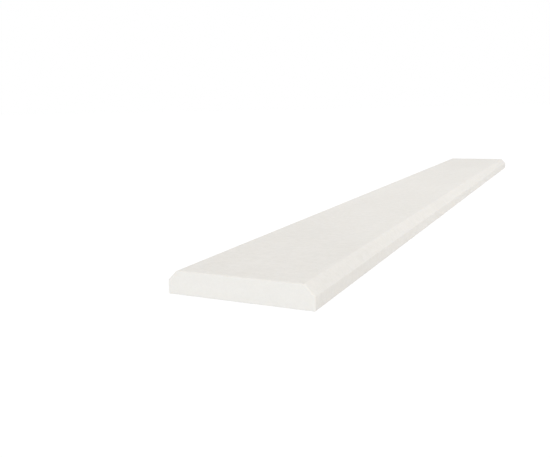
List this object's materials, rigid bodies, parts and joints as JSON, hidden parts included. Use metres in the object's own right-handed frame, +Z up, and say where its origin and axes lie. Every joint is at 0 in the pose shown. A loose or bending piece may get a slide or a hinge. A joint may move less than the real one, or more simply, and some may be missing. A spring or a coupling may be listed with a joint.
{
  "type": "marble threshold",
  "caption": "Flat marble door threshold, a long slab with a 45 degree bevel along both long top edges, square-cut ends and a flat underside.",
  "frame": {"origin": "centre of the underside, the face that is bedded on the subfloor", "axes": "+Y runs along the length, +X runs across the width from one bevelled edge to the other, +Z is up, out of the walked-on top"},
  "size_m": [0.1016, 0.9144, 0.0159],
  "materials": {
    "marble": "warm white marble, honed to a soft sheen on the top and bevels, sawn on the ends and underside"
  },
  "bodies": {
    "root": {"threshold": "marble"}
  },
  "joints": []
}
